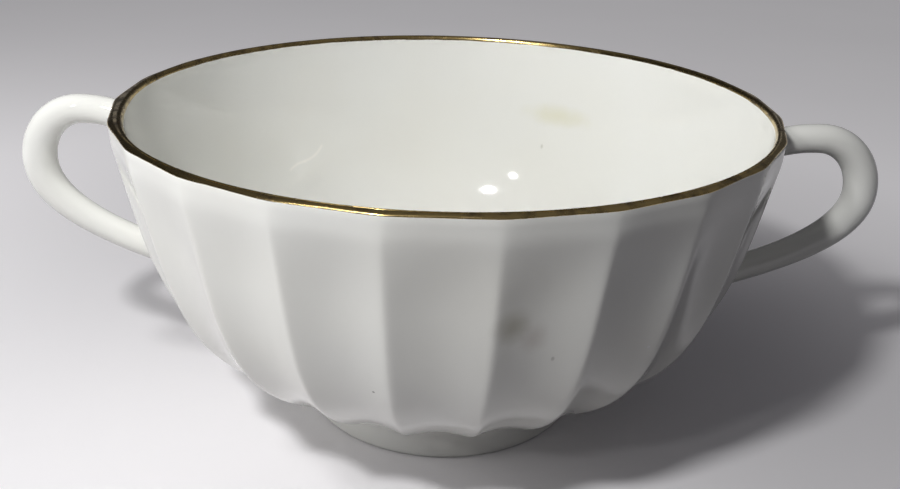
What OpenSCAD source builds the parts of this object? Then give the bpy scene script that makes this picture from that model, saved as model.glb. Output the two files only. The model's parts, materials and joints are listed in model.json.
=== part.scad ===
// Footed cream soup bowl of white glazed china: a fluted round bowl on a low turned foot, with
// two looped ear handles at opposite ends and a gilded lip. The foot, bowl and handles are stuck
// together before firing, so they are one solid. Millimetres, +Z up. The origin is on the
// table, in the middle of the foot, and the handles lie along X.

/* [Bowl] */
// Diameter over the arrises between the flutes, just under the lip
rim_d = 117.6; // [104:0.1:132]
// Height from the table to the crest of the lip
bowl_h = 59.8; // [54:0.1:66]
// Thickness of the china in the middle of a flute
wall = 2.4; // [1.8:0.1:3]
// Lean of the wall from the vertical at the lip
rim_lean = 10.4; // [4:0.1:16]
// Length of the nearly straight upper wall that the lean sets
rim_reach = 26.7; // [18:0.1:32]
// Rise of the belly from the horizontal where it leaves the foot
belly_rise = 22.2; // [14:0.1:30]
// Length of the nearly straight belly that the rise sets
belly_reach = 29.1; // [20:0.1:34]

/* [Flutes] */
// Number of hollow flutes round the bowl
flute_count = 24; // [12:4:32]
// Depth of a flute below its arrises, where the bowl is widest
flute_depth = 1.5; // [0.5:0.1:2]
// Depth that is left of a flute at the lip
lip_flute_depth = 0.5; // [0:0.05:0.8]
// Height over which the flutes come to their full depth below the lip
lip_fade = 7; // [3:0.5:12]
// Width over which the flutes run out above the foot
foot_fade = 6; // [3:0.5:9]

/* [Lip] */
// Height of the rounded lip, which carries the gilding
lip_round = 0.5; // [0.4:0.05:1.6]
// Width of the flat crest of the lip
lip_land = 0.3; // [0.2:0.05:0.6]

/* [Foot] */
// Diameter of the foot on the table
foot_d = 53.8; // [46:0.2:58]
// Height from the table to the belly, where the foot joins it
foot_h = 7.2; // [5:0.1:9]
// Width of the bare ring that the bowl stands on
foot_ring = 2.4; // [1.5:0.1:4]
// Rounding of the ring on both sides of its bare face
foot_round = 0.6; // [0.3:0.05:0.9]
// How far the side of the foot is waisted in
foot_waist = 0.5; // [0.1:0.05:1]
// Width of the small ledge by which the belly overhangs the foot
foot_ledge = 0.5; // [0.3:0.05:1]
// Depth of the hollow under the bowl, inside the foot ring
foot_hollow = 4.8; // [2:0.1:5.4]
// Slope of the hollow's side from the vertical
foot_draft = 20; // [5:1:35]
// Thickness of the china in the middle of the bottom
base = 3.8; // [2.4:0.1:4.4]

/* [Handles] */
// Overall length across both handles
handle_span = 160; // [146:0.5:174]
// Distance from the crest of the lip down to the top of the higher handle
handle_below_lip = 1.7; // [0.5:0.1:8]
// Height that the upper arm gains from its root to its arch
handle_lift = 1.7; // [0:0.1:3]
// How much lower the handle on +X sits, as the pair was stuck on by hand
handle_drop = 1.7; // [0:0.1:3]
// How much further out the handle on +X reaches
handle_extra = 1.5; // [0:0.1:3]
// Distance from the top of a handle down to the middle of its outer bend
handle_bend_drop = 13; // [10:0.1:18]
// Distance from the top of a handle's arch in to its outermost point
handle_arch = 9.2; // [6:0.1:11]
// Distance from the top of a handle down to the root of its lower arm
handle_root_drop = 34.2; // [28:0.2:37]
// Rise of the lower arm from the horizontal at its root
handle_rise = 17; // [8:1:30]
// Length of the nearly straight lower arm that the rise sets
handle_reach = 10; // [6:0.2:14]
// Thickness of the rod at the arch
rod_arch_d = 5.3; // [4:0.1:7]
// Thickness of the rod at the outer bend
rod_bend_d = 6.1; // [4.5:0.1:8]
// Thickness of the rod along the lower arm
rod_arm_d = 5.2; // [4:0.1:7]
// Thickness that each root gains where it is luted to the bowl
root_flare = 0.9; // [0:0.1:4]
// Length of rod over which a root flares
flare_length = 4; // [3:0.5:9]

/* [Hidden] */

// Steps of the curves
wall_steps = 18;
flute_steps = 4;
lip_steps = 3;
floor_steps = 6;
rod_sides = 14;
arch_steps = 6;
round_steps = 4;
$fn = 96;

// Clearances of the construction
bond = 0.6;
over = 1;

china = [0.95, 0.95, 0.92];
gold = [0.62, 0.47, 0.2];

pitch = 360 / flute_count;
rim_r = rim_d / 2;
edge_z = bowl_h - lip_round;
neck_r = foot_d / 2 + foot_ledge;

// Outline of the bowl through its arrises, as a Bezier curve from the lip down to the foot
outline = [
    [rim_r, edge_z],
    [rim_r, edge_z] - rim_reach * [sin(rim_lean), cos(rim_lean)],
    [neck_r, foot_h] + belly_reach * [cos(belly_rise), sin(belly_rise)],
    [neck_r, foot_h]
];

function clamp01(k) = max(0, min(1, k));
function ease(k) = let (c = clamp01(k)) c * c * (3 - 2 * c);
function mix(a, b, k) = a + (b - a) * k;

function bezier(p, t) =
    pow(1 - t, 3) * p[0] + 3 * pow(1 - t, 2) * t * p[1] + 3 * (1 - t) * t * t * p[2] + pow(t, 3) * p[3];
function bezier_run(p, t) =
    3 * pow(1 - t, 2) * (p[1] - p[0]) + 6 * (1 - t) * t * (p[2] - p[1]) + 3 * t * t * (p[3] - p[2]);
function unit(v) = v / norm(v);

// Outward normal of the outline at t, which runs from 0 at the lip to 1 at the foot
function outward(t) = let (d = unit(bezier_run(outline, t))) [-d[1], d[0]];

// Depth of a flute at t: shallow at the lip, in step with the radius, and run out at the foot
function depth_at(t) =
    let (
        p = bezier(outline, t),
        full = flute_depth * p[0] / rim_r,
        below_lip = ease((edge_z - p[1]) / lip_fade),
        above_foot = ease((p[0] - neck_r) / foot_fade)
    )
    mix(lip_flute_depth, full, below_lip) * above_foot;

// Share of its depth that a flute has at step j round the bowl: 0 on an arris, 1 in the middle
function scoop(j) = let (u = (j % flute_steps) / flute_steps) 4 * u * (1 - u);
function bearing(j) = (j / flute_steps - 0.5) * pitch;
function around(r, z, j) = [r * cos(bearing(j)), r * sin(bearing(j)), z];

ring_steps = flute_count * flute_steps;

// One ring of points round the outside at t
function wall_ring(t) =
    let (p = bezier(outline, t), n = outward(t), d = depth_at(t))
    [for (j = [0:ring_steps - 1]) let (q = p - n * d * scoop(j)) around(q[0], q[1], j)];

// Radii of the inside at the lip, and of the crest's outer edge over the middle of the wall
inner_edge_r = rim_r - (lip_flute_depth + wall) * cos(rim_lean);
crest_r = (rim_r - lip_flute_depth + inner_edge_r + lip_land) / 2;

// One ring of points on the rounded outside of the lip, at angle a from its lower edge
function lip_ring(a) =
    [for (j = [0:ring_steps - 1])
        let (r = rim_r - lip_flute_depth * scoop(j))
        around(mix(crest_r, r, cos(a)), edge_z + lip_round * sin(a), j)];

// A closed solid through rings of the same number of points, given from the bottom upwards
module skin(rings) {
    n = len(rings[0]);
    last = len(rings) - 1;
    points = [for (ring = rings) for (p = ring) p];
    sides = [for (i = [0:last - 1]) for (j = [0:n - 1])
        let (a = i * n + j, b = i * n + (j + 1) % n)
        for (f = [[a, a + n, b], [b, a + n, b + n]]) f];
    bottom = [for (j = [0:n - 1]) j];
    top = [for (j = [n - 1:-1:0]) last * n + j];
    polyhedron(points = points, faces = concat([bottom], sides, [top]), convexity = 8);
}

// The fluted bowl, solid inside, from the foot to the lower edge of the lip
module fluted_form() {
    color(china)
        skin([for (i = [wall_steps:-1:0]) wall_ring(i / wall_steps)]);
}

// The rounded lip that carries the gilding
module lip_form() {
    color(gold)
        skin([for (i = [0:lip_steps]) lip_ring(i * 90 / lip_steps)]);
}

// Inside of the bowl: the outline moved in by the flute and the wall
function inside_point(t) = bezier(outline, t) - outward(t) * (wall + depth_at(t));
inside_end = inside_point(1);
floor_z = foot_hollow + base;
function floor_point(k) = [inside_end[0] * (1 - k), mix(floor_z, inside_end[1], pow(1 - k, 2))];

module inside() {
    lip_r = crest_r - lip_land;
    edge = inside_point(0);
    color(china)
        rotate_extrude()
            polygon(concat(
                [for (i = [floor_steps:-1:1]) floor_point(i / floor_steps)],
                [for (i = [wall_steps:-1:1]) inside_point(i / wall_steps)],
                [for (i = [0:lip_steps])
                    let (a = i * 90 / lip_steps)
                    [mix(lip_r, edge[0], cos(a)), mix(edge[1], bowl_h, sin(a))]],
                [[lip_r, bowl_h + over], [0, bowl_h + over]]
            ));
}

// Quarter or part circle in the outline of the foot, from angle a to angle b
function arc(c, r, a, b) =
    [for (i = [0:round_steps]) c + r * [cos(mix(a, b, i / round_steps)), sin(mix(a, b, i / round_steps))]];

// The turned foot, with a bare ring below, a waisted side and a shallow hollow under the bowl
module foot() {
    r = foot_d / 2;
    in_r = r - foot_ring;
    hollow_r = in_r - foot_hollow * tan(foot_draft);
    top_r = r + foot_ledge / 2;
    waist_h = foot_h - foot_round;
    color(china)
        rotate_extrude()
            polygon(concat(
                [[0, foot_hollow], [hollow_r, foot_hollow]],
                arc([in_r + foot_round, foot_round], foot_round, 180 - foot_draft, 270),
                arc([r - foot_round, foot_round], foot_round, 270, 360),
                [for (i = [1:round_steps])
                    let (k = i / round_steps)
                    [mix(r, top_r, k) - foot_waist * sin(180 * k), foot_round + waist_h * k]],
                [[top_r, foot_h + bond], [0, foot_h + bond]]
            ));
}

// Middle line of a handle in its own upright plane, as three Bezier curves that meet smoothly
handle_top_z = bowl_h - handle_below_lip;
arch_z = handle_top_z - rod_arch_d / 2;
bend_z = handle_top_z - handle_bend_drop;
bend_r = handle_span / 2 - handle_extra / 2 - rod_bend_d / 2;
arch_r = bend_r - handle_arch;
arm_z = handle_top_z - handle_root_drop;

// Shares of a quarter ellipse's half axes at which the curves have their control points
round_share = 0.55;
lower_share = 0.5;

// Step of the outline at height z, found by halving the stretch that holds it
function step_at(z, low = 0, high = 1, left = 20) =
    let (mid = (low + high) / 2)
    left == 0 ? mid : bezier(outline, mid)[1] > z
        ? step_at(z, mid, high, left - 1) : step_at(z, low, mid, left - 1);

// Point in the middle of the wall behind a flute at height z, where a root of a handle ends
function seat_point(z) =
    let (t = step_at(z)) bezier(outline, t) - outward(t) * (depth_at(t) + wall / 2);
function seat_lean(z) = let (d = bezier_run(outline, step_at(z))) atan2(-d[1], -d[0]);

function handle_curves(dx, dz) =
    let (
        seat_a = seat_point(arch_z - handle_lift - dz),
        seat_b = seat_point(arm_z - dz),
        arch = [arch_r + dx, arch_z - dz],
        bend = [bend_r + dx, bend_z - dz],
        run = (arch[0] - seat_a[0]) / 2
    )
    [
        [seat_a, seat_a + [run, 0], arch - [run, 0], arch],
        [arch, arch + [handle_arch * round_share, 0],
            bend + [0, (arch_z - bend_z) * round_share], bend],
        [bend, bend - [0, (bend_z - arm_z) * lower_share],
            seat_b + handle_reach * [cos(handle_rise), sin(handle_rise)], seat_b]
    ];

// Share of the lower curve over which the rod thins
arm_taper = 0.6;

// Thickness of the rod at step s, which runs from 0 at the upper root to 3 at the lower one
function rod_d(s) =
    s < 1 ? rod_arch_d : s < 2 ? mix(rod_arch_d, rod_bend_d, ease(s - 1))
        : mix(rod_bend_d, rod_arm_d, ease((s - 2) / arm_taper));

module handle(dx, dz) {
    curves = handle_curves(dx, dz);
    function at(s) = s >= 3 ? curves[2][3] : bezier(curves[floor(s)], s - floor(s));
    function heading(s) =
        let (d = s >= 3 ? bezier_run(curves[2], 1) : bezier_run(curves[floor(s)], s - floor(s)))
        atan2(d[1], d[0]);
    upper = curves[0][0];
    lower = curves[2][3];
    function ring(s) =
        let (
            p = at(s),
            near_a = ease(1 - norm(p - upper) / flare_length),
            near_b = ease(1 - norm(p - lower) / flare_length),
            square = heading(s) + 90,
            tilt_a = seat_lean(upper[1]),
            tilt_b = seat_lean(lower[1]) - 180,
            tilt = mix(mix(square, tilt_a, near_a), tilt_b, near_b),
            r = (rod_d(s) + root_flare * (near_a + near_b)) / 2,
            long_r = r / max(0.5, cos(tilt - square))
        )
        [for (j = [0:rod_sides - 1])
            let (a = 360 * j / rod_sides, q = p + long_r * cos(a) * [cos(tilt), sin(tilt)])
            [q[0], -r * sin(a), q[1]]];
    color(china)
        skin([for (i = [0:3 * arch_steps]) ring(i / arch_steps)]);
}

module bowl() {
    difference() {
        union() {
            fluted_form();
            lip_form();
            foot();
            handle(handle_extra, handle_drop);
            mirror([1, 0, 0]) handle(0, 0);
        }
        inside();
    }
}

bowl();
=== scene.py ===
"""Looks of the footed cream soup bowl: fluted white china with two looped handles and a gilded lip.

The glazed bowl is one mesh that stands for the CAD node "bowl". It repeats that node's sizes in
millimetres and adds what glaze and sponge do to the form: rounded arrises between the flutes, soft
fillets where the handles are luted on and over the foot, and a wall that turns in and thins out at
the lip, where the flutes run out more slowly than on the node.
"""

import json
import logging
import math
from collections.abc import Sequence
from dataclasses import dataclass, field
from enum import Enum

import bpy
import numpy as np
from mathutils import Matrix, Vector

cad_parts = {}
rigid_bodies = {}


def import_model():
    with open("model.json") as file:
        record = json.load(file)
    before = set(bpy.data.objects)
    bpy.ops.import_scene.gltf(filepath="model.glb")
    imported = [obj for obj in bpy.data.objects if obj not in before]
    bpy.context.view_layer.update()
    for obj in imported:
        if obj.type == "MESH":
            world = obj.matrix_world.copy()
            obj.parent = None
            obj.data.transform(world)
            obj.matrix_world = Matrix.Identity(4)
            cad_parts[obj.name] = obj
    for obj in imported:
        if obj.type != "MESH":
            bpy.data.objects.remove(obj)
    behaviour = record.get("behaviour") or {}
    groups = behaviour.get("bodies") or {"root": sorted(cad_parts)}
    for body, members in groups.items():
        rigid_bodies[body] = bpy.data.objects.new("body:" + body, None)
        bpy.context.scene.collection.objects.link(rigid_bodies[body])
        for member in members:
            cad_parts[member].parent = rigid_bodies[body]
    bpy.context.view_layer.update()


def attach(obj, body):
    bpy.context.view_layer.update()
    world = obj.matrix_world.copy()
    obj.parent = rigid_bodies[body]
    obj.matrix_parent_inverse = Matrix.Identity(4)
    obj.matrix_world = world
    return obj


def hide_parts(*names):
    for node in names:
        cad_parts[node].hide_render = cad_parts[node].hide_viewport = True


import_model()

LOG = logging.getLogger("soup_bowl")
MM = 0.001

Array = np.ndarray
Point = tuple[float, float, float]


# Small helpers


def linear(hex_colour: str) -> tuple[float, float, float, float]:
    """Turns an sRGB hex colour into linear light.

    Args:
        hex_colour: Six hex digits, with or without a leading hash.

    Returns:
        Red, green, blue and an alpha of 1.
    """
    digits = hex_colour.lstrip("#")
    srgb = [int(digits[i : i + 2], 16) / 255 for i in (0, 2, 4)]
    rgb = [c / 12.92 if c <= 0.04045 else ((c + 0.055) / 1.055) ** 2.4 for c in srgb]
    return rgb[0], rgb[1], rgb[2], 1.0


def ease(k: Array) -> Array:
    """Runs smoothly from 0 to 1 as k does, and stays there beyond."""
    c = np.clip(k, 0.0, 1.0)
    return c * c * (3 - 2 * c)


def mix(a: Array | float, b: Array | float, k: Array | float) -> Array:
    """The value a share k of the way from a to b."""
    return a + (b - a) * k


def turned(degrees: float) -> Array:
    """Unit vector at an angle from the horizontal, in an upright plane."""
    a = math.radians(degrees)
    return np.array([math.cos(a), math.sin(a)])


def add_node(tree: bpy.types.NodeTree, kind: str, **sockets: object) -> bpy.types.Node:
    """Adds one shader node with its settings, values and links.

    Args:
        tree: The node tree to add to.
        kind: Blender's name of the node type, without "ShaderNode" before it.
        **sockets: A node property by its name, or an input as "in_" and its name or number,
            with underscores for spaces. An output socket given to an input is linked to it.

    Returns:
        The new node.
    """
    node = tree.nodes.new("ShaderNode" + kind)
    inputs = {}
    for name, value in sockets.items():
        if name.startswith("in_"):
            inputs[name[3:]] = value
        else:
            setattr(node, name, value)
    for name, value in inputs.items():
        key = int(name) if name.isdigit() else name.replace("_", " ")
        socket = node.inputs[key]
        if isinstance(value, bpy.types.NodeSocket):
            tree.links.new(value, socket)
        else:
            socket.default_value = value
    return node


def new_material(name: str) -> tuple[bpy.types.Material, bpy.types.NodeTree, bpy.types.NodeSocket]:
    """Starts a material.

    Args:
        name: The material's name.

    Returns:
        The material, its empty node tree and the socket of the place on the object, in metres.
    """
    made = bpy.data.materials.new(name)
    made.use_nodes = True
    tree = made.node_tree
    tree.nodes.clear()
    return made, tree, add_node(tree, "TexCoord").outputs["Object"]


def seen(tree: bpy.types.NodeTree) -> bpy.types.NodeSocket:
    """Adds what tells rays that end in the picture from those that only light it.

    Args:
        tree: The node tree to add to.

    Returns:
        A socket that is 1 for camera, mirrored and transmitted rays and 0 for the others.
    """
    ray = add_node(tree, "LightPath")
    shows = ray.outputs["Is Camera Ray"]
    for kind in ("Is Glossy Ray", "Is Transmission Ray"):
        shows = add_node(tree, "Math", operation="MAXIMUM", in_0=shows, in_1=ray.outputs[kind]).outputs[0]
    return shows


@dataclass(frozen=True)
class Bezier:
    """A cubic curve in an upright plane, through its first and last point, in millimetres."""

    points: Array

    def at(self, t: Array) -> Array:
        """Points at the steps t, from 0 to 1.

        Args:
            t: Steps along the curve.

        Returns:
            One point for each step.
        """
        t = np.atleast_1d(t)[:, None]
        p = self.points
        return (1 - t) ** 3 * p[0] + 3 * (1 - t) ** 2 * t * p[1] + 3 * (1 - t) * t * t * p[2] + t**3 * p[3]

    def heading(self, t: Array) -> Array:
        """Unit vectors along the curve at the steps t.

        Args:
            t: Steps along the curve.

        Returns:
            One direction for each step.
        """
        t = np.atleast_1d(t)[:, None]
        p = self.points
        d = (1 - t) ** 2 * (p[1] - p[0]) + 2 * (1 - t) * t * (p[2] - p[1]) + t * t * (p[3] - p[2])
        return d / np.linalg.norm(d, axis=1, keepdims=True)


class Finish(Enum):
    """Material slots of the bowl's mesh, in their order."""

    GLAZE = 0
    GILDING = 1
    BARE_FOOT = 2


class Side(Enum):
    """The end of the bowl that a handle is luted to, as the sign of X."""

    LEFT = -1
    RIGHT = 1


@dataclass
class Skin:
    """Points and faces that are gathered before they become one Blender mesh."""

    points: list[Array] = field(default_factory=list)
    faces: list[Array] = field(default_factory=list)
    slots: list[Array] = field(default_factory=list)
    count: int = 0

    def add_rings(self, rings: Array, slots: Sequence[Finish], close_ends: bool = False) -> None:
        """Adds a surface through rings that all have the same number of points.

        Args:
            rings: Points as rings x points a ring x 3, in millimetres.
            slots: The finish of each strip between two rings.
            close_ends: Whether the first and the last ring shrink to one point each.
        """
        n_rings, n = rings.shape[:2]
        ids = self.count + np.arange(n_rings * n).reshape(n_rings, n)
        nxt = np.roll(ids, -1, axis=1)
        quads = np.stack([ids[:-1], nxt[:-1], nxt[1:], ids[1:]], axis=-1).reshape(-1, 4)
        self.points.append(rings.reshape(-1, 3))
        self.faces.append(quads)
        self.slots.append(np.repeat([s.value for s in slots], n))
        self.count += n_rings * n
        if close_ends:
            for ring in (ids[0][::-1], ids[-1]):
                middle = rings.reshape(-1, 3)[ring - ids[0, 0]].mean(axis=0)
                hub = self.count
                self.points.append(middle[None])
                self.count += 1
                fan = np.stack([ring, np.roll(ring, -1), np.full(n, hub), np.full(n, -1)], axis=-1)
                self.faces.append(fan)
                self.slots.append(np.full(n, Finish.GLAZE.value))

    def build(self, name: str) -> bpy.types.Object:
        """Makes one smooth Blender object of everything that was added.

        Args:
            name: The object's name.

        Returns:
            The new object, in metres, linked to the scene.
        """
        points = np.concatenate(self.points) * MM
        faces = [[int(i) for i in f if i >= 0] for f in np.concatenate(self.faces)]
        mesh = bpy.data.meshes.new(name)
        mesh.from_pydata(points.tolist(), [], faces)
        mesh.polygons.foreach_set("material_index", np.concatenate(self.slots).astype(np.int32))
        mesh.polygons.foreach_set("use_smooth", np.ones(len(faces), bool))
        mesh.validate()
        mesh.update()
        piece = bpy.data.objects.new(name, mesh)
        bpy.context.scene.collection.objects.link(piece)
        return piece


# The thrown, fluted body with its lip and foot


@dataclass(frozen=True)
class FlutedBody:
    """Body, lip and foot of the bowl, in millimetres, with the CAD node's sizes but for its lip."""

    rim_d: float = 117.6
    height: float = 59.8
    wall: float = 2.4
    rim_lean: float = 10.4
    rim_reach: float = 26.7
    belly_rise: float = 22.2
    belly_reach: float = 29.1
    flute_count: int = 24
    flute_depth: float = 1.5
    lip_flute_depth: float = 0.5
    # Below the lip the flutes deepen more slowly than on the CAD node, where they take 7 mm, and
    # the inside follows them more slowly still
    lip_fade: float = 15.0
    inner_fade: float = 26.0
    foot_fade: float = 6.0
    lip_round: float = 0.5
    lip_land: float = 0.3
    foot_d: float = 53.8
    foot_h: float = 7.2
    foot_ring: float = 2.4
    foot_round: float = 0.6
    foot_waist: float = 0.5
    foot_ledge: float = 0.5
    foot_hollow: float = 4.8
    foot_draft: float = 20.0
    # The hollow's ceiling starts at this radius, and its corner runs in over the ceiling and, as
    # reach and drop, down its side
    hollow_hub: float = 1.5
    corner_run: float = 1.2
    corner_side: tuple[float, float] = (0.36, 1.0)
    base: float = 3.8
    # The glaze fills the arris between two flutes over this share of a flute's width, and more
    # of it at the lip, where the rim was wiped with a sponge
    arris_round: float = 0.035
    lip_arris_round: float = 0.12
    lip_arris_run: float = 5.0
    # The sponge also turns the wall in a little, just under the lip
    lip_turn_in: float = 0.4
    lip_turn_run: float = 4.0
    # The inside thins out to this wall at the lip, over this height
    lip_wall: float = 1.6
    lip_thinning: float = 12.0
    # Beside the left handle the lip was left thicker: its bearing, how much and how far round
    thick_spot: tuple[float, float, float] = (-166.0, 0.75, 26.0)
    # Control points of the glaze's fillet over the foot, from the foot's top edge, and the share of
    # the wall's outline that lies above it
    fillet_pull: tuple[tuple[float, float], ...] = ((-0.05, -0.1), (0.1, -0.02))
    wall_share: float = 0.985
    # Just under the lip a flute sinks level into the wall, so that the lip stays flat
    level_run: float = 2.0
    # The lip carries the gilding's material down to here, which is gold only where the band lies
    gilding_drop: float = 1.6
    # Points of the mesh, round a flute and along the profile
    points_per_flute: int = 14
    ceiling_points: int = 12
    corner_points: int = 5
    turn_points: int = 7
    side_points: int = 12
    fillet_points: int = 4
    wall_rings: int = 64
    lip_points: int = 9
    inner_rings: int = 50
    floor_rings: int = 14

    @property
    def outline(self) -> Bezier:
        """The body's outline through its arrises.

        Returns:
            The curve from the lip down to the foot.
        """
        lip = np.array([self.rim_d / 2, self.height - self.lip_round])
        neck = np.array([self.foot_d / 2 + self.foot_ledge, self.foot_h])
        down = turned(-90 - self.rim_lean)
        out = turned(self.belly_rise)
        return Bezier(np.array([lip, lip + self.rim_reach * down, neck + self.belly_reach * out, neck]))

    def outward(self, t: Array) -> Array:
        """Outward normals of the outline at the steps t."""
        d = self.outline.heading(t)
        return np.stack([-d[:, 1], d[:, 0]], axis=1)

    def depth(self, t: Array, lip_fade: float) -> Array:
        """Depth of a flute's middle below its arrises at the steps t.

        Args:
            t: Steps along the outline.
            lip_fade: Height below the lip over which the flutes get their full depth.

        Returns:
            Shallow at the lip, in step with the radius below it, and nothing at the foot.
        """
        p = self.outline.at(t)
        full = self.flute_depth * p[:, 0] / (self.rim_d / 2)
        below_lip = ease((self.height - self.lip_round - p[:, 1]) / lip_fade)
        above_foot = ease((p[:, 0] - self.foot_d / 2 - self.foot_ledge) / self.foot_fade)
        return mix(self.lip_flute_depth, full, below_lip) * above_foot

    def scoop(self, u: Array, arris_round: float) -> Array:
        """Share of its depth that a flute has at the share u of its width.

        Args:
            u: Place across a flute, from 0 to 1.
            arris_round: Share of the width over which the arris is rounded.

        Returns:
            Little on the rounded arris, and 1 in the middle of the flute.
        """
        e = arris_round
        d = np.sqrt(np.minimum(u, 1 - u) ** 2 + e * e) - e / 2
        top = math.sqrt(0.25 + e * e) - e / 2
        return d * (1 - d) / (top * (1 - top))

    def bearings(self) -> tuple[Array, Array]:
        """Places round the bowl, closest together at the arrises.

        Returns:
            The bearings in radians, and the place across its flute of each.
        """
        n = self.points_per_flute
        v = np.arange(n) / n
        u = v - 0.6 / (2 * np.pi) * np.sin(2 * np.pi * v)
        pitch = 2 * np.pi / self.flute_count
        k = np.arange(self.flute_count)[:, None]
        return ((k - 0.5 + u[None]) * pitch).ravel(), np.tile(u, self.flute_count)

    def outer_radius(self, z: Array, bearing: Array) -> Array:
        """Radius of the outside at a height and bearing.

        Args:
            z: Heights in millimetres.
            bearing: Bearings in radians.

        Returns:
            The radius at each.
        """
        t = np.linspace(0, 1, 400)
        p, n, d = self.outline.at(t), self.outward(t), self.depth(t, self.lip_fade)
        u = np.mod(bearing / (2 * np.pi / self.flute_count) + 0.5, 1)
        s = self.scoop(u, self.arris_round)
        ridge = np.interp(z, p[::-1, 1], p[::-1, 0])
        q = p - n * d[:, None]
        middle = np.interp(z, q[::-1, 1], q[::-1, 0])
        return mix(ridge, middle, s)

    def lip_radii(self) -> tuple[float, float]:
        """Radii of the narrow land on the lip's crest.

        Returns:
            Its outer and its inner radius.
        """
        inner = self.rim_d / 2 - (self.lip_flute_depth + self.wall) * math.cos(math.radians(self.rim_lean))
        crest = (self.rim_d / 2 - self.lip_flute_depth + inner + self.lip_land) / 2
        return crest, crest - self.lip_land

    def foot_side(self) -> list[Array]:
        """Outline of the foot.

        Returns:
            Points from the middle of its hollow, round the bare ring and up its waisted side.
        """
        r = self.foot_d / 2
        in_r = r - self.foot_ring
        hollow_r = in_r - self.foot_hollow * math.tan(math.radians(self.foot_draft))
        top_r = r + self.foot_ledge / 2
        rise = self.foot_h - self.foot_round
        corner_r = hollow_r - self.corner_run
        along = np.linspace(self.hollow_hub, corner_r, self.ceiling_points)
        ceiling = [np.array([x, self.foot_hollow]) for x in along]
        apex = [hollow_r, self.foot_hollow]
        reach, drop = self.corner_side
        corner = Bezier(np.array([[corner_r, apex[1]], apex, apex, [apex[0] + reach, apex[1] - drop]]))
        turn_in = [
            np.array([in_r + self.foot_round, self.foot_round]) + self.foot_round * turned(a)
            for a in np.linspace(180 - self.foot_draft, 270, self.turn_points)
        ]
        turn_out = [
            np.array([r - self.foot_round, self.foot_round]) + self.foot_round * turned(a)
            for a in np.linspace(270, 360, self.turn_points)
        ]
        side = [
            np.array([mix(r, top_r, k) - self.foot_waist * math.sin(math.pi * k), self.foot_round + rise * k])
            for k in np.linspace(0, 1, self.side_points + 2)[1:-1]
        ]
        bend = corner.at(np.linspace(0, 1, self.corner_points + 1)[1:])
        return [*ceiling, *bend, *turn_in, *turn_out, *side]

    def profile(self) -> tuple[Array, Array, Array, list[Finish]]:
        """The whole turned profile, from under the foot to the middle of the inside.

        Returns:
            Points through the arrises, the direction in which a flute sinks them, the flute's
            depth at each, and the finish of the strip after each point.
        """
        foot = np.array(self.foot_side())
        ring = self.ceiling_points + self.corner_points
        bare = range(ring + 1, ring + self.turn_points)
        t = np.linspace(self.wall_share, 0.0, self.wall_rings)
        belly, n_belly, d_belly = self.outline.at(t), self.outward(t), self.depth(t, self.lip_fade)
        edge = np.array([self.foot_d / 2 + self.foot_ledge / 2, self.foot_h])
        pull = [edge + np.array(p) for p in self.fillet_pull]
        k = np.linspace(0, 1, self.fillet_points + 2)[1:-1]
        fillet = Bezier(np.array([foot[-1], *pull, belly[0]])).at(k)
        crest, crest_in = self.lip_radii()
        a = np.radians(np.linspace(0, 90, self.lip_points)[1:])
        lip_z = self.height - self.lip_round + self.lip_round * np.sin(a)
        outer_lip = np.stack([mix(crest, self.rim_d / 2, np.cos(a)), lip_z], 1)
        inner_t = np.linspace(0, 1, self.inner_rings)
        below = self.height - self.lip_round - self.outline.at(inner_t)[:, 1]
        wall = mix(self.lip_wall, self.wall, np.clip(below / self.lip_thinning, 0, 1))
        inset = wall + self.depth(inner_t, self.inner_fade)
        inside = self.outline.at(inner_t) - self.outward(inner_t) * inset[:, None]
        inside = inside[inside[:, 1] < self.height - self.lip_round]
        b = np.radians(np.linspace(90, 0, self.lip_points))
        inner_lip = np.stack(
            [mix(crest_in, inside[0, 0], np.cos(b)), mix(inside[0, 1], self.height, np.sin(b))], 1
        )
        k = np.linspace(0, 1, self.floor_rings + 2)[1:-1]
        end = inside[-1]
        floor_z = self.foot_hollow + self.base
        floor = np.stack([end[0] * (1 - k), mix(floor_z, end[1], (1 - k) ** 2)], 1)
        points = np.concatenate([foot, fillet, belly, outer_lip, inner_lip, inside[1:], floor])
        sink = np.zeros_like(points)
        depth = np.zeros(len(points))
        start = len(foot) + len(fillet)
        level_z = self.height - self.lip_round - self.level_run
        level = ease((belly[:, 1] - level_z) / self.level_run)[:, None]
        along = mix(n_belly, np.array([[1.0, 0.0]]), level)
        sink[start : start + len(belly)] = along
        depth[start : start + len(belly)] = d_belly
        lip = slice(start + len(belly), start + len(belly) + len(outer_lip))
        sink[lip] = [1.0, 0.0]
        depth[lip] = self.lip_flute_depth * np.cos(a)
        gilded_low = self.height - self.gilding_drop
        finishes = []
        for i, p in enumerate(points):
            if i in bare:
                finishes.append(Finish.BARE_FOOT)
            elif p[1] >= gilded_low:
                finishes.append(Finish.GILDING)
            else:
                finishes.append(Finish.GLAZE)
        return points, sink, depth, finishes[:-1]

    def add_to(self, skin: Skin) -> None:
        """Adds the body's surface to a skin.

        Args:
            skin: The skin that gathers the bowl.
        """
        points, sink, depth, finishes = self.profile()
        bearing, u = self.bearings()
        soft = ease((points[:, 1:2] - self.height + self.lip_arris_run) / self.lip_arris_run)
        scoop = mix(self.scoop(u, self.arris_round)[None], self.scoop(u, self.lip_arris_round)[None], soft)
        turn = ease((points[:, 1:2] - self.height + self.lip_round + self.lip_turn_run) / self.lip_turn_run)
        crest, crest_in = self.lip_radii()
        turn = turn * (points[:, 0:1] > crest)
        r = points[:, 0:1] - sink[:, 0:1] * depth[:, None] * scoop - self.lip_turn_in * turn
        spot, extra, reach = self.thick_spot
        off = np.mod(np.degrees(bearing) - spot + 180, 360) - 180
        near = 1 - ease(abs(off) / reach)
        high = ease((points[:, 1:2] - self.height + self.lip_thinning) / self.lip_thinning)
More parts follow.
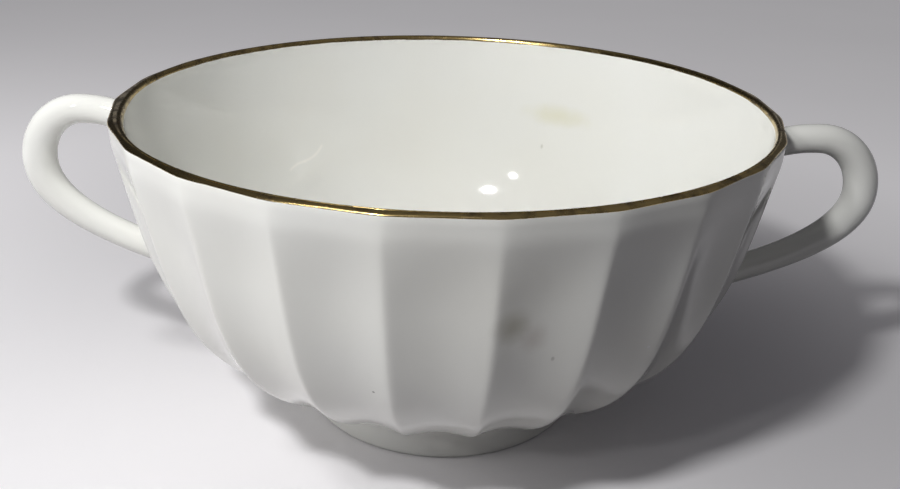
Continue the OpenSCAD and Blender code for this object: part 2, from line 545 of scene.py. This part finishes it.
        # The inside starts past the profile's first point at the bowl's full height, in from the crest
        inside = np.maximum.accumulate(points[:, 1:2] > self.height - 1e-6)
        inside = inside & (points[:, 0:1] < (crest + crest_in) / 2)
        r = r - extra * near[None] * high * inside
        z = points[:, 1:2] - sink[:, 1:2] * depth[:, None] * scoop
        rings = np.stack([r * np.cos(bearing), r * np.sin(bearing), z], axis=-1)
        skin.add_rings(rings, finishes, close_ends=True)
        LOG.info("body: %d rings of %d points", *rings.shape[:2])


# The handles


@dataclass(frozen=True)
class LoopHandle:
    """One handle: a rod bent into an ear and luted to the bowl at both ends, in millimetres."""

    side: Side
    body: FlutedBody
    span: float = 160.0
    below_lip: float = 1.7
    lift: float = 1.7
    drop: float = 1.7
    extra: float = 1.5
    bend_drop: float = 13.0
    arch: float = 9.2
    root_drop: float = 34.2
    rise: float = 17.0
    reach: float = 10.0
    rod_arch_d: float = 5.3
    rod_bend_d: float = 6.1
    rod_arm_d: float = 5.2
    # Shares of a quarter ellipse's half axes at which the curves have their control points
    round_share: float = 0.55
    lower_share: float = 0.5
    # Steps along the curves at which the rod starts to swell and to slim, and over which it does
    swell: tuple[float, float] = (0.8, 1.2)
    slim: tuple[float, float] = (2.0, 0.6)
    # Radius of the glazed fillet round each root, how far its toe dips under the wall's surface and
    # how far it stays below the lip
    luting: float = 0.9
    toe_dip: float = 0.04
    toe_drop: float = 0.1
    # How much of an end curve is searched for the wall, and in how many steps
    root_share: float = 0.9
    root_steps: int = 260
    sides: int = 40
    rings: int = 90
    fillet_rings: int = 9

    def curves(self) -> list[Bezier]:
        """The rod's middle line, in its upright plane.

        Returns:
            Three curves from its upper to its lower root.
        """
        right = self.side is Side.RIGHT
        dx, dz = (self.extra, self.drop) if right else (0.0, 0.0)
        top_z = self.body.height - self.below_lip
        arch_z = top_z - self.rod_arch_d / 2
        bend_z = top_z - self.bend_drop
        bend_r = self.span / 2 - self.extra / 2 - self.rod_bend_d / 2
        arm_z = top_z - self.root_drop
        seat_a, seat_b = self.seat(arch_z - self.lift - dz), self.seat(arm_z - dz)
        arch = np.array([bend_r - self.arch + dx, arch_z - dz])
        bend = np.array([bend_r + dx, bend_z - dz])
        run = np.array([(arch[0] - seat_a[0]) / 2, 0.0])
        rise = (arch_z - bend_z) * self.round_share
        fall = (bend_z - arm_z) * self.lower_share
        return [
            Bezier(np.array([seat_a, seat_a + run, arch - run, arch])),
            Bezier(np.array([arch, arch + [self.arch * self.round_share, 0], bend + [0, rise], bend])),
            Bezier(np.array([bend, bend - [0, fall], seat_b + self.reach * turned(self.rise), seat_b])),
        ]

    def seat(self, z: float) -> Array:
        """Where a root ends.

        Args:
            z: Height on the outline.

        Returns:
            Point in the middle of the wall there.
        """
        t = np.linspace(0, 1, 2000)
        i = int(np.argmin(abs(self.body.outline.at(t)[:, 1] - z)))
        t = t[i : i + 1]
        inset = self.body.depth(t, self.body.inner_fade)[0] + self.body.wall / 2
        return (self.body.outline.at(t) - self.body.outward(t) * inset)[0]

    def rod(self, s: Array) -> tuple[Array, Array, Array]:
        """The rod's middle, heading and radius at the steps s, from 0 to 3.

        Args:
            s: Steps along the three curves.

        Returns:
            Points, unit headings and radii.
        """
        curves = self.curves()
        part = np.minimum(s.astype(int), 2)
        centre = np.array([curves[k].at(np.array([x - k]))[0] for k, x in zip(part, s, strict=True)])
        heading = np.array([curves[k].heading(np.array([x - k]))[0] for k, x in zip(part, s, strict=True)])
        outer = mix(self.rod_arch_d, self.rod_bend_d, ease((s - self.swell[0]) / self.swell[1]))
        lower = mix(self.rod_bend_d, self.rod_arm_d, ease((s - self.slim[0]) / self.slim[1]))
        return centre, heading, np.where(s < self.slim[0], outer, lower) / 2

    def surface(self, s: Array) -> Array:
        """Points on the rod for each step in s and each of its long lines.

        Args:
            s: Steps as rings x sides.

        Returns:
            Points as rings x sides x 3, with the rod's own plane as XZ.
        """
        centre, heading, radius = self.rod(s.ravel())
        a = np.broadcast_to(2 * np.pi * np.arange(self.sides) / self.sides, s.shape).ravel()
        up = np.stack([-heading[:, 1], heading[:, 0]], 1)
        flat = centre + up * (radius * np.cos(a))[:, None]
        return np.stack([flat[:, 0], radius * np.sin(a), flat[:, 1]], 1).reshape(*s.shape, 3)

    def gap(self, points: Array) -> Array:
        """How far points lie outside the body.

        Args:
            points: Points as any shape x 3.

        Returns:
            Each one's level distance from the body's outer surface, less than 0 inside it.
        """
        bearing = np.arctan2(points[..., 1], points[..., 0])
        if self.side is Side.LEFT:
            bearing = np.pi - bearing
        return np.hypot(points[..., 0], points[..., 1]) - self.body.outer_radius(points[..., 2], bearing)

    def root(self, lower: bool) -> tuple[Array, Array]:
        """The fillet of one root.

        Args:
            lower: Whether it is the lower root.

        Returns:
            Fillet rings from the wall to the rod, and the step at which each long line of the
            rod leaves the fillet.
        """
        first_s, last_s = (3.0, 3.0 - self.root_share) if lower else (0.0, self.root_share)
        s = np.linspace(first_s, last_s, self.root_steps)
        grid = np.repeat(s[:, None], self.sides, 1)
        points = self.surface(grid)
        clear = self.gap(points) > 0
        first = np.argmax(clear, axis=0)
        rings, leave = [], []
        centre = self.rod(s)[0]
        for j in range(self.sides):
            line = points[:, j]
            hit = line[first[j]]
            run = np.concatenate([[0], np.cumsum(np.linalg.norm(np.diff(line, axis=0), axis=1))])
            run -= run[first[j]]
            off = int(np.searchsorted(run, self.luting))
            away = hit - np.array([centre[first[j], 0], 0.0, centre[first[j], 1]])
            away /= np.linalg.norm(away)
            toe = hit + away * self.luting
            toe[2] = min(toe[2], self.body.height - self.body.lip_round - self.toe_drop)
            sign = self.side.value
            bearing = math.atan2(toe[1], toe[0]) if sign > 0 else math.pi - math.atan2(toe[1], toe[0])
            level = float(self.body.outer_radius(np.array([toe[2]]), np.array([bearing]))[0])
            scale = (level - self.toe_dip) / math.hypot(toe[0], toe[1])
            toe = np.array([toe[0] * scale, toe[1] * scale, toe[2]])
            k = np.linspace(0, 1, self.fillet_rings)[:, None]
            rings.append((1 - k) ** 2 * toe + 2 * (1 - k) * k * hit + k * k * line[off])
            leave.append(s[off])
        return np.stack(rings, axis=1), np.array(leave)

    def add_to(self, skin: Skin) -> None:
        """Adds the handle's surface to a skin.

        Args:
            skin: The skin that gathers the bowl.
        """
        upper, start = self.root(lower=False)
        lower, end = self.root(lower=True)
        k = np.linspace(0, 1, self.rings)[1:-1, None]
        rod = self.surface(mix(start[None], end[None], k))
        rings = np.concatenate([upper, rod, lower[::-1]])
        if self.side is Side.LEFT:
            rings[..., 0] *= -1
        else:
            rings = rings[:, ::-1]
        skin.add_rings(rings[:, ::-1], [Finish.GLAZE] * (len(rings) - 1))
        LOG.info("%s handle: %d rings of %d points", self.side.name.lower(), *rings.shape[:2])


# Finishes


@dataclass(frozen=True)
class Mark:
    """A mark on the glaze: a soft patch of another colour round a point of the surface."""

    centre_mm: Point
    radii_mm: Point
    colour: str
    strength: float
    ragged: float = 0.5
    core: float = 0.35


@dataclass(frozen=True)
class GlazedChina:
    """Bone china under a clear glossy glaze, dipped and fired.

    The glaze gives sharp small lights and a slow waviness where it ran before it set. Use has
    left a faint food stain inside and one outside and a few specks, and a pale thin line runs inside.
    """

    body: str = "#f5f6f3"
    warm: str = "#f2f1e9"
    roughness: float = 0.07
    ior: float = 1.5
    # The glaze's slow waves are about as long as a flute is wide, and its fine ones 2 mm
    wave_mm: float = 14.0
    wave_high_mm: float = 0.25
    ripple_mm: float = 2.2
    ripple_high_mm: float = 0.012
    tone_mm: float = 30.0
    ragged_mm: float = 3.0
    marks: tuple[Mark, ...] = (
        Mark((25.4, 45.9, 43.9), (12.0, 8.5, 3.3), "#d6d08c", 0.28, 0.5, 0.0),
        Mark((22.2, 45.6, 36.4), (0.5, 0.5, 0.9), "#9a9b85", 0.4, 0.3, 0.1),
        Mark((9.6, -54.0, 42.4), (3.5, 5.0, 4.0), "#7a7038", 0.44, 0.3, 0.0),
        Mark((12.7, -52.9, 39.9), (2.9, 4.5, 3.7), "#9a7f70", 0.24, 0.4, 0.0),
        Mark((-9.4, -50.5, 29.1), (0.34, 0.5, 0.3), "#4c4740", 0.75, 0.2),
        Mark((15.8, -50.7, 35.6), (0.35, 0.5, 0.6), "#6f6b60", 0.35, 0.2),
        Mark((14.0, -51.2, 33.8), (0.3, 0.5, 0.4), "#6f6b60", 0.25, 0.2),
        Mark((30.9, -43.4, 33.7), (0.4, 0.4, 0.4), "#ffffff", 0.9, 0.1),
    )
    # The pale line's colour and strength, where it starts to fade off its middle and where it ends,
    # and how far it fades at its tips
    pale_line: str = "#fffdf6"
    pale_line_strength: float = 0.75
    pale_line_half_mm: tuple[float, float] = (0.12, 0.42)
    pale_line_tip_mm: float = 0.6
    # It is two arcs of circles: each one's centre and radius, and its middle and half length
    pale_line_arcs: tuple[tuple[Point, float, Point, float], ...] = (
        ((-31.4, 35.1, 27.1), 7.3, (-34.7, 35.9, 33.6), 2.2),
        ((-34.7, 38.3, 40.8), 7.1, (-31.3, 39.3, 34.8), 2.8),
    )

    def colour(self, tree: bpy.types.NodeTree, place: bpy.types.NodeSocket) -> bpy.types.NodeSocket:
        """Adds the glaze's colour, with its marks.

        Args:
            tree: The material's node tree.
            place: The place on the object, in metres.

        Returns:
            The colour's socket.
        """
        tone = add_node(tree, "TexNoise", in_Vector=place, in_Scale=1 / (self.tone_mm * MM), in_Detail=2.0)
        shade = add_node(
            tree, "Mix", data_type="RGBA", in_0=tone.outputs["Fac"], in_6=linear(self.body),
            in_7=linear(self.warm),
        ).outputs[2]
        ragged = add_node(
            tree, "TexNoise", in_Vector=place, in_Scale=1 / (self.ragged_mm * MM), in_Detail=4.0
        )
        for mark in self.marks:
            offset = add_node(
                tree, "VectorMath", operation="SUBTRACT", in_0=place,
                in_1=tuple(c * MM for c in mark.centre_mm),
            )
            scaled = add_node(
                tree, "VectorMath", operation="DIVIDE", in_0=offset.outputs[0],
                in_1=tuple(r * MM for r in mark.radii_mm),
            )
            far = add_node(tree, "VectorMath", operation="LENGTH", in_0=scaled.outputs[0])
            uneven = add_node(
                tree, "Math", operation="MULTIPLY_ADD", in_0=ragged.outputs["Fac"],
                in_1=mark.ragged, in_2=far.outputs["Value"],
            )
            share = add_node(
                tree, "MapRange", interpolation_type="SMOOTHSTEP", in_Value=uneven.outputs[0],
                in_1=mark.core + mark.ragged / 2, in_2=1.0 + mark.ragged / 2, in_3=mark.strength, in_4=0.0,
            )
            shade = add_node(
                tree, "Mix", data_type="RGBA", in_0=share.outputs[0], in_6=shade,
                in_7=linear(mark.colour),
            ).outputs[2]
        for centre, radius, middle, reach in self.pale_line_arcs:
            ring = add_node(
                tree, "VectorMath", operation="DISTANCE", in_0=place,
                in_1=tuple(c * MM for c in centre),
            )
            off = add_node(tree, "Math", operation="SUBTRACT", in_0=ring.outputs["Value"], in_1=radius * MM)
            thin = add_node(tree, "Math", operation="ABSOLUTE", in_0=off.outputs[0])
            line = add_node(
                tree, "MapRange", in_Value=thin.outputs[0], in_1=self.pale_line_half_mm[0] * MM,
                in_2=self.pale_line_half_mm[1] * MM, in_3=self.pale_line_strength, in_4=0.0,
            )
            near = add_node(
                tree, "VectorMath", operation="DISTANCE", in_0=place,
                in_1=tuple(c * MM for c in middle),
            )
            ends = add_node(
                tree, "MapRange", in_Value=near.outputs["Value"], in_1=reach * MM,
                in_2=(reach + self.pale_line_tip_mm) * MM, in_3=1.0, in_4=0.0,
            )
            share = add_node(tree, "Math", operation="MULTIPLY", in_0=line.outputs[0], in_1=ends.outputs[0])
            shade = add_node(
                tree, "Mix", data_type="RGBA", in_0=share.outputs[0], in_6=shade,
                in_7=linear(self.pale_line),
            ).outputs[2]
        return shade

    def relief(self, tree: bpy.types.NodeTree, place: bpy.types.NodeSocket) -> bpy.types.NodeSocket:
        """Adds the glaze's slow waves and fine ripple as a normal.

        Args:
            tree: The material's node tree.
            place: The place on the object, in metres.

        Returns:
            The normal's socket.
        """
        wave = add_node(tree, "TexNoise", in_Vector=place, in_Scale=1 / (self.wave_mm * MM), in_Detail=1.0)
        slow = add_node(
            tree, "Bump", in_Strength=0.35, in_Distance=self.wave_high_mm * MM,
            in_Height=wave.outputs["Fac"],
        )
        ripple = add_node(
            tree, "TexNoise", in_Vector=place, in_Scale=1 / (self.ripple_mm * MM), in_Detail=2.0
        )
        return add_node(
            tree, "Bump", in_Strength=0.25, in_Distance=self.ripple_high_mm * MM,
            in_Height=ripple.outputs["Fac"], in_Normal=slow.outputs[0],
        ).outputs[0]

    def material(self) -> bpy.types.Material:
        """Makes the material.

        Returns:
            Glazed china on the object's own coordinates.
        """
        made, tree, place = new_material("glazed_bone_china")
        glaze = add_node(
            tree, "BsdfPrincipled", in_Base_Color=self.colour(tree, place),
            in_Roughness=self.roughness, in_IOR=self.ior, in_Normal=self.relief(tree, place),
        )
        add_node(tree, "OutputMaterial", in_Surface=glaze.outputs[0])
        return made


@dataclass(frozen=True)
class FiredGilding:
    """Liquid gold brushed round the lip on a wheel and fired, then worn by use.

    It is a mirror with a brown cast, dark where it faces the room. Its edges are a little uneven
    where the brush ran, it sank lower at the front before it set, and it is rubbed thin in spots,
    where it turns duller and browner.
    """

    china: GlazedChina
    gold: str = "#d2b87a"
    rubbed: str = "#7c6b4e"
    roughness: float = 0.2
    rubbed_roughness: float = 0.38
    # Heights of the band's outer and inner edge, the radius of the crest between them, and half the
    # widths over which one turns into the other and over which an edge fades
    outer_edge_mm: float = 59.35
    inner_edge_mm: float = 58.92
    crest_mm: float = 57.12
    crest_half_mm: float = 0.1
    edge_half_mm: float = 0.05
    # At the front the gold ran down a little before it set: where, how far and how far round
    run_down_mm: Point = (14.0, -56.3, 59.3)
    run_down_drop: float = 0.62
    run_down_reach: float = 30.0
    # How far the brush strayed, over what length, and which part of the noise does it
    run_mm: float = 0.05
    brush_mm: float = 5.0
    brush_noise: tuple[float, float] = (0.3, 0.7)
    # Size of the rubbed spots, and the part of the noise from which they start and are full
    wear_mm: float = 2.5
    wear_noise: tuple[float, float] = (0.46, 0.7)

    def cover(self, tree: bpy.types.NodeTree, place: bpy.types.NodeSocket) -> bpy.types.NodeSocket:
        """Adds where the gold lies: above its outer edge outside, above its inner edge inside.

        Args:
            tree: The material's node tree.
            place: The place on the object, in metres.

        Returns:
            A socket that is 1 on the gold and 0 on the china beside it.
        """
        parts = add_node(tree, "SeparateXYZ", in_Vector=place)
        flat = add_node(tree, "CombineXYZ", in_X=parts.outputs["X"], in_Y=parts.outputs["Y"])
        radius = add_node(tree, "VectorMath", operation="LENGTH", in_0=flat.outputs[0])
        brush = add_node(
            tree, "TexNoise", in_Vector=place, in_Scale=1 / (self.brush_mm * MM), in_Detail=2.0
        )
        run = add_node(
            tree, "MapRange", in_Value=brush.outputs["Fac"], in_1=self.brush_noise[0],
            in_2=self.brush_noise[1], in_3=-self.run_mm * MM, in_4=self.run_mm * MM,
        )
        high = add_node(tree, "Math", operation="ADD", in_0=parts.outputs["Z"], in_1=run.outputs[0])
        near = add_node(
            tree, "VectorMath", operation="DISTANCE", in_0=place,
            in_1=tuple(c * MM for c in self.run_down_mm),
        )
        outer = add_node(
            tree, "MapRange", interpolation_type="SMOOTHSTEP", in_Value=near.outputs["Value"],
            in_1=0.0, in_2=self.run_down_reach * MM, in_3=(self.outer_edge_mm - self.run_down_drop) * MM,
            in_4=self.outer_edge_mm * MM,
        )
        edge = add_node(
            tree, "MapRange", in_Value=radius.outputs["Value"],
            in_1=(self.crest_mm - self.crest_half_mm) * MM, in_2=(self.crest_mm + self.crest_half_mm) * MM,
            in_3=self.inner_edge_mm * MM, in_4=outer.outputs[0],
        )
        above = add_node(tree, "Math", operation="SUBTRACT", in_0=high.outputs[0], in_1=edge.outputs[0])
        return add_node(
            tree, "MapRange", in_Value=above.outputs[0], in_1=-self.edge_half_mm * MM,
            in_2=self.edge_half_mm * MM,
        ).outputs[0]

    def material(self) -> bpy.types.Material:
        """Makes the material.

        Returns:
            Gold over glazed china, by place on the lip.
        """
        made, tree, place = new_material("fired_gilding")
        gilt = self.cover(tree, place)
        wear = add_node(tree, "TexNoise", in_Vector=place, in_Scale=1 / (self.wear_mm * MM), in_Detail=5.0)
        rubbed = add_node(
            tree, "MapRange", in_Value=wear.outputs["Fac"], in_1=self.wear_noise[0],
            in_2=self.wear_noise[1],
        ).outputs[0]
        metal = add_node(
            tree, "Mix", data_type="RGBA", in_0=rubbed, in_6=linear(self.gold),
            in_7=linear(self.rubbed),
        ).outputs[2]
        colour = add_node(
            tree, "Mix", data_type="RGBA", in_0=gilt, in_6=self.china.colour(tree, place),
            in_7=metal,
        ).outputs[2]
        dull = add_node(
            tree, "MapRange", in_Value=rubbed, in_3=self.roughness, in_4=self.rubbed_roughness
        ).outputs[0]
        rough = add_node(tree, "Mix", in_0=gilt, in_2=self.china.roughness, in_3=dull).outputs[0]
        skin = add_node(
            tree, "BsdfPrincipled", in_Base_Color=colour, in_Metallic=gilt, in_Roughness=rough,
            in_IOR=self.china.ior, in_Normal=self.china.relief(tree, place),
        )
        add_node(tree, "OutputMaterial", in_Surface=skin.outputs[0])
        return made


@dataclass(frozen=True)
class BareFootRing:
    """Unglazed china on the ring that the bowl stands on, ground flat after firing.

    It is matt and finely gritty, and a little grey from use.
    """

    clean: str = "#dcd8cc"
    soiled: str = "#a39c8c"
    roughness: float = 0.62
    # The real grit is finer and wouldn't show
    grit_mm: float = 0.6
    grit_high_mm: float = 0.03

    def material(self) -> bpy.types.Material:
        """Makes the material.

        Returns:
            Matt china with grey grit.
        """
        made, tree, place = new_material("ground_bare_china")
        grit = add_node(tree, "TexNoise", in_Vector=place, in_Scale=1 / (self.grit_mm * MM), in_Detail=4.0)
        colour = add_node(
            tree, "Mix", data_type="RGBA", in_0=grit.outputs["Fac"], in_6=linear(self.clean),
            in_7=linear(self.soiled),
        ).outputs[2]
        bump = add_node(
            tree, "Bump", in_Strength=0.4, in_Distance=self.grit_high_mm * MM,
            in_Height=grit.outputs["Fac"],
        )
        bare = add_node(
            tree, "BsdfPrincipled", in_Base_Color=colour, in_Roughness=self.roughness,
            in_Normal=bump.outputs[0],
        )
        add_node(tree, "OutputMaterial", in_Surface=bare.outputs[0])
        return made


@dataclass(frozen=True)
class SoupBowl:
    """The whole bowl, fired as one piece."""

    body: FlutedBody = FlutedBody()
    china: GlazedChina = GlazedChina()

    def build(self) -> bpy.types.Object:
        """Builds and dresses the bowl, which stands for the CAD node.

        Returns:
            The bowl's object.
        """
        skin = Skin()
        self.body.add_to(skin)
        for side in Side:
            LoopHandle(side, self.body).add_to(skin)
        piece = skin.build("glazed_bowl")
        for material in (
            self.china.material(),
            FiredGilding(self.china).material(),
            BareFootRing().material(),
        ):
            piece.data.materials.append(material)
        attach(piece, "root")
        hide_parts("bowl")
        return piece


# Stage, light and camera


@dataclass(frozen=True)
class MattBoard:
    """Matt pale board: a chalky surface with a faint grain, which takes soft shadows."""

    name: str
    colour: str
    grain: str
    # Painted shade: the tones that the board throws back onto what stands on it are darker than the
    # board is shown, near and left, and darker still far off and to the right, which darkens the bowl's
    # right side; where one turns into the other, and how much a place counts for being far
    painted_shade_bounce_left: str
    painted_shade_bounce_right: str
    dim_mm: tuple[float, float] = (5.0, 110.0)
    far_share: float = 0.6
    roughness: float = 0.8
    specular: float = 0.2
    grain_mm: float = 90.0
    # Painted light: away from the bowl the board glows paler for the camera and in mirrors, without
    # shedding more light on it: how much, and from where to where
    glow: float = 0.27
    fade_mm: tuple[float, float] = (60.0, 220.0)

    def material(self) -> bpy.types.Material:
        """Makes the material.

        Returns:
            A matt board with a slow, faint change of tone, painted shade in the light that it throws
            back and a painted glow away from the bowl.
        """
        made, tree, place = new_material(self.name)
        grain = add_node(
            tree, "TexNoise", in_Vector=place, in_Scale=1 / (self.grain_mm * MM), in_Detail=2.0
        )
        tone = add_node(
            tree, "Mix", data_type="RGBA", in_0=grain.outputs["Fac"],
            in_6=linear(self.colour), in_7=linear(self.grain),
        ).outputs[2]
        far = add_node(tree, "VectorMath", operation="LENGTH", in_0=place)
        right = add_node(tree, "VectorMath", operation="DOT_PRODUCT", in_0=place, in_1=(1.0, 0.0, 0.0))
        aside = add_node(
            tree, "Math", operation="MULTIPLY_ADD", in_0=far.outputs["Value"],
            in_1=self.far_share, in_2=right.outputs["Value"],
        )
        beyond = add_node(
            tree, "MapRange", interpolation_type="SMOOTHSTEP", in_Value=aside.outputs[0],
            in_1=self.dim_mm[0] * MM, in_2=self.dim_mm[1] * MM,
        )
        # Painted shade: rays that only light the bowl see the board darker than it is shown, darkest far off
        # and to the right
        bounce = add_node(
            tree, "Mix", data_type="RGBA", in_0=beyond.outputs[0], in_6=linear(self.painted_shade_bounce_left),
            in_7=linear(self.painted_shade_bounce_right),
        ).outputs[2]
        shows = seen(tree)
        tone = add_node(tree, "Mix", data_type="RGBA", in_0=shows, in_6=bounce, in_7=tone).outputs[2]
        board = add_node(
            tree, "BsdfPrincipled", in_Base_Color=tone, in_Roughness=self.roughness,
            in_Specular_IOR_Level=self.specular,
        )
        # Painted light: a glow that grows away from the bowl, seen by the camera and in mirrors only
        away = add_node(
            tree, "MapRange", interpolation_type="SMOOTHSTEP", in_Value=far.outputs["Value"],
            in_1=self.fade_mm[0] * MM, in_2=self.fade_mm[1] * MM, in_4=self.glow,
        )
        lift = add_node(tree, "Math", operation="MULTIPLY", in_0=away.outputs[0], in_1=shows)
        pale = add_node(tree, "Emission", in_Color=tone, in_Strength=lift.outputs[0])
        both = add_node(tree, "AddShader", in_0=board.outputs[0], in_1=pale.outputs[0])
        add_node(tree, "OutputMaterial", in_Surface=both.outputs[0])
        return made


@dataclass(frozen=True)
class Stage:
    """A plain pale table top."""

    # Painted shade: the last two tones, which the board throws back onto the bowl darker than it is shown
    table: MattBoard = MattBoard("matt_pale_table", "#f8f6f8", "#f3f1f3", "#cdcbcd", "#757375")
    half_mm: float = 3000.0

    def build(self) -> bpy.types.Object:
        """Builds the table top.

        Returns:
            The table top, marked as stage.
        """
        h = self.half_mm * MM
        mesh = bpy.data.meshes.new("table_top")
        mesh.from_pydata([(-h, -h, 0), (h, -h, 0), (h, h, 0), (-h, h, 0)], [], [(0, 1, 2, 3)])
        mesh.materials.append(self.table.material())
        piece = bpy.data.objects.new("table_top", mesh)
        bpy.context.scene.collection.objects.link(piece)
        LOG.info("%s: stage", piece.name)
        return piece


@dataclass(frozen=True)
class Lamp:
    """One round soft lamp that looks at a point."""

    name: str
    place_mm: Point
    size_mm: float
    watts: float
    look_mm: Point = (0.0, 0.0, 30.0)
    colour: str = "#ffffff"
    mirrored: bool = True

    def build(self) -> bpy.types.Object:
        """Builds the lamp.

        Returns:
            The lamp's object.
        """
        data = bpy.data.lights.new(self.name, "AREA")
        data.shape = "DISK"
        data.size = self.size_mm * MM
        data.energy = self.watts
        data.color = linear(self.colour)[:3]
        lamp = bpy.data.objects.new(self.name, data)
        lamp.visible_glossy = self.mirrored
        lamp.location = Vector(self.place_mm) * MM
        towards = Vector(self.look_mm) - Vector(self.place_mm)
        lamp.rotation_euler = towards.to_track_quat("-Z", "Y").to_euler()
        bpy.context.scene.collection.objects.link(lamp)
        return lamp


@dataclass(frozen=True)
class Studio:
    """Lamps and the dim room round them."""

    lamps: tuple[Lamp, ...] = (
        Lamp("key", (-83.0, -155.0, 225.0), 26.0, 0.35),
        Lamp("second", (-220.0, -285.0, 245.0), 26.0, 0.09),
        Lamp("left_high", (-150.0, -80.0, 240.0), 40.0, 0.15, mirrored=False),
        Lamp("left_low", (-400.0, 0.0, 120.0), 150.0, 0.34, mirrored=False),
    )
    room_low: str = "#232427"
    room_high: str = "#646366"
    # Direction in which the room is brightest, up and a little to the right, and the shares of it
    # from which the room starts to brighten and is brightest
    bright_side: Point = (0.35, 0.0, 0.937)
    bright_from: tuple[float, float] = (0.1, 0.95)
    # Just over the horizon the room looks as pale as the table, up to this share of straight up
    backdrop: str = "#a09fa1"
    backdrop_top: tuple[float, float] = (0.02, 0.12)
    strength: float = 1.0

    def build(self) -> None:
        """Builds the lamps and the world."""
        for lamp in self.lamps:
            lamp.build()
        world = bpy.data.worlds.new("room")
        world.use_nodes = True
        tree = world.node_tree
        tree.nodes.clear()
        aim = add_node(tree, "TexCoord").outputs["Generated"]
        height = add_node(
            tree, "VectorMath", operation="DOT_PRODUCT", in_0=aim, in_1=self.bright_side
        ).outputs["Value"]
        share = add_node(
            tree, "MapRange", interpolation_type="SMOOTHSTEP", in_Value=height,
            in_1=self.bright_from[0], in_2=self.bright_from[1],
        ).outputs[0]
        tone = add_node(
            tree, "Mix", data_type="RGBA", in_0=share, in_6=linear(self.room_low),
            in_7=linear(self.room_high),
        ).outputs[2]
        up = add_node(tree, "SeparateXYZ", in_Vector=aim).outputs["Z"]
        low = add_node(
            tree, "MapRange", interpolation_type="SMOOTHSTEP", in_Value=up,
            in_1=self.backdrop_top[0], in_2=self.backdrop_top[1], in_3=1.0, in_4=0.0,
        )
        shown = add_node(tree, "Math", operation="MULTIPLY", in_0=low.outputs[0], in_1=seen(tree))
        tone = add_node(
            tree, "Mix", data_type="RGBA", in_0=shown.outputs[0], in_6=tone,
            in_7=linear(self.backdrop),
        ).outputs[2]
        room = add_node(tree, "Background", in_Color=tone, in_Strength=self.strength)
        add_node(tree, "OutputWorld", in_Surface=room.outputs[0])
        bpy.context.scene.world = world


@dataclass(frozen=True)
class Viewpoint:
    """The camera, as fitted to the photograph's rim, flutes, foot and handles."""

    place_mm: Point = (0.968, -158.231, 100.067)
    elevation: float = 23.78
    roll: float = 1.64
    focal_px: float = 890.0
    image_px: tuple[int, int] = (900, 489)
    sensor_mm: float = 36.0
    clip_m: tuple[float, float] = (0.005, 20.0)

    def build(self) -> bpy.types.Object:
        """Builds the camera and makes it the scene's own.

        Returns:
            The camera's object.
        """
        data = bpy.data.cameras.new("viewpoint")
        data.sensor_width = self.sensor_mm
        data.lens = self.sensor_mm * self.focal_px / max(self.image_px)
        data.clip_start, data.clip_end = self.clip_m
        camera = bpy.data.objects.new("viewpoint", data)
        el, roll = math.radians(self.elevation), math.radians(self.roll)
        back = Vector((0.0, -math.cos(el), math.sin(el)))
        right = Vector((1.0, 0.0, 0.0))
        up = back.cross(right)
        right_rolled = right * math.cos(roll) + up * math.sin(roll)
        up_rolled = up * math.cos(roll) - right * math.sin(roll)
        turn = Matrix((right_rolled, up_rolled, back)).transposed()
        camera.matrix_world = Matrix.Translation(Vector(self.place_mm) * MM) @ turn.to_4x4()
        bpy.context.scene.collection.objects.link(camera)
        bpy.context.scene.camera = camera
        return camera


def main() -> None:
    """Builds the bowl, the stage, the light and the camera, in that order."""
    logging.basicConfig(level=logging.INFO, format="%(name)s: %(message)s")
    bowl = SoupBowl().build()
    LOG.info("%s: %d faces", bowl.name, len(bowl.data.polygons))
    Stage().build()
    Studio().build()
    Viewpoint().build()
    bpy.context.scene.view_settings.view_transform = "Standard"


if __name__ == "__main__":
    main()
